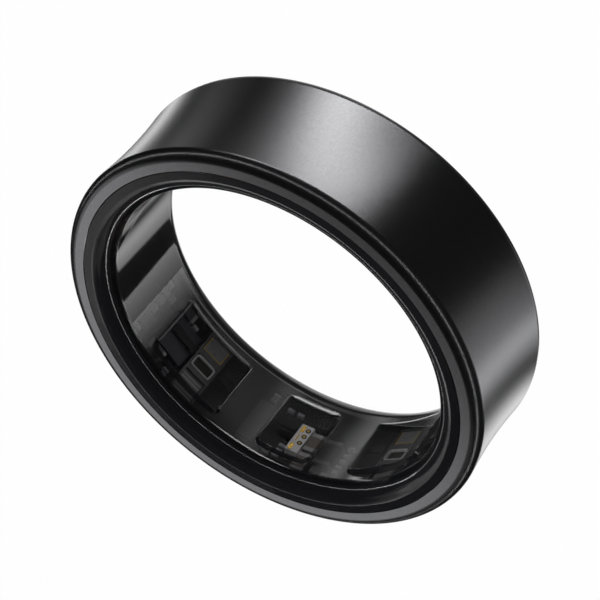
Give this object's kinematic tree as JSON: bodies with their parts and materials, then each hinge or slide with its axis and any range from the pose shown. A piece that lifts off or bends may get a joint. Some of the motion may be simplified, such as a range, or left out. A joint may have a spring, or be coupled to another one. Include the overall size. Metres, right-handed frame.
{
  "type": "smart ring",
  "caption": "Finger ring with a hollowed black metal outside, a dark see-through resin liner with raised sensor domes, and its battery and circuit sealed inside.",
  "frame": {"origin": "middle of the finger hole, halfway across the ring's width", "axes": "+Z runs along the finger, the ring lies flat on one rim with its axis upright, and +Y points from the axis to the middle sensor dome"},
  "size_m": [0.024, 0.024, 0.007],
  "materials": {
    "shell_metal": "satin black coating on titanium, fine brushed along the ring",
    "resin": "dark smoked see-through resin, polished",
    "flex": "dark amber polyimide with copper tracks",
    "stiffener": "dark green glass fibre laminate",
    "film": "pale adhesive film",
    "battery_pouch": "dark grey laminate pouch, satin",
    "nickel": "bright nickel strip",
    "board_green": "green solder mask",
    "copper": "enamelled copper",
    "ferrite": "dark grey ferrite, matte",
    "gold": "gold plate",
    "led_body": "cream moulded plastic",
    "led_die": "gold plated die",
    "sensor_body": "light grey moulded plastic",
    "silicon": "dark polished silicon",
    "diode_frame": "pale plated frame",
    "barrier_black": "black light barrier print",
    "front_end_tint": "dark purple tinted glass over silicon",
    "chip_black": "black moulded package",
    "chip_grey": "dark grey moulded package",
    "crystal_can": "nickel can",
    "capacitor_brown": "brown ceramic",
    "solder": "tinned metal ends",
    "inductor_grey": "grey ferrite ceramic",
    "passive_grey": "pale grey ceramic and tin"
  },
  "bodies": {
    "root": {"outer_shell": "shell_metal", "inner_liner": "resin", "flex_circuit": "flex", "board_stiffener": "stiffener", "board_adhesive": "film", "battery_cell": "battery_pouch", "battery_adhesive": "film", "battery_tabs": "nickel", "battery_protection_board": "board_green", "charging_coil": "copper", "ferrite_sheet": "ferrite", "antenna": "gold", "led_package": "led_body", "led_pads": "gold", "led_dies": "led_die", "right_sensor_housing": "sensor_body", "left_sensor_housing": "sensor_body", "photodiodes": "silicon", "photodiode_frames": "diode_frame", "photodiode_traces": "gold", "light_barriers": "barrier_black", "sensor_front_end_chip": "front_end_tint", "processor_chip": "chip_black", "memory_chip": "chip_grey", "power_chip": "chip_black", "charging_chip": "chip_black", "motion_sensor": "chip_black", "skin_temperature_sensor": "chip_black", "crystal": "crystal_can", "large_capacitors": "capacitor_brown", "large_capacitor_ends": "solder", "inductors": "inductor_grey", "inductor_ends": "solder", "wide_resistors": "chip_grey", "wide_resistor_ends": "solder", "regulator_chip": "chip_grey", "medium_passives": "passive_grey", "small_passives": "passive_grey"}
  },
  "joints": []
}
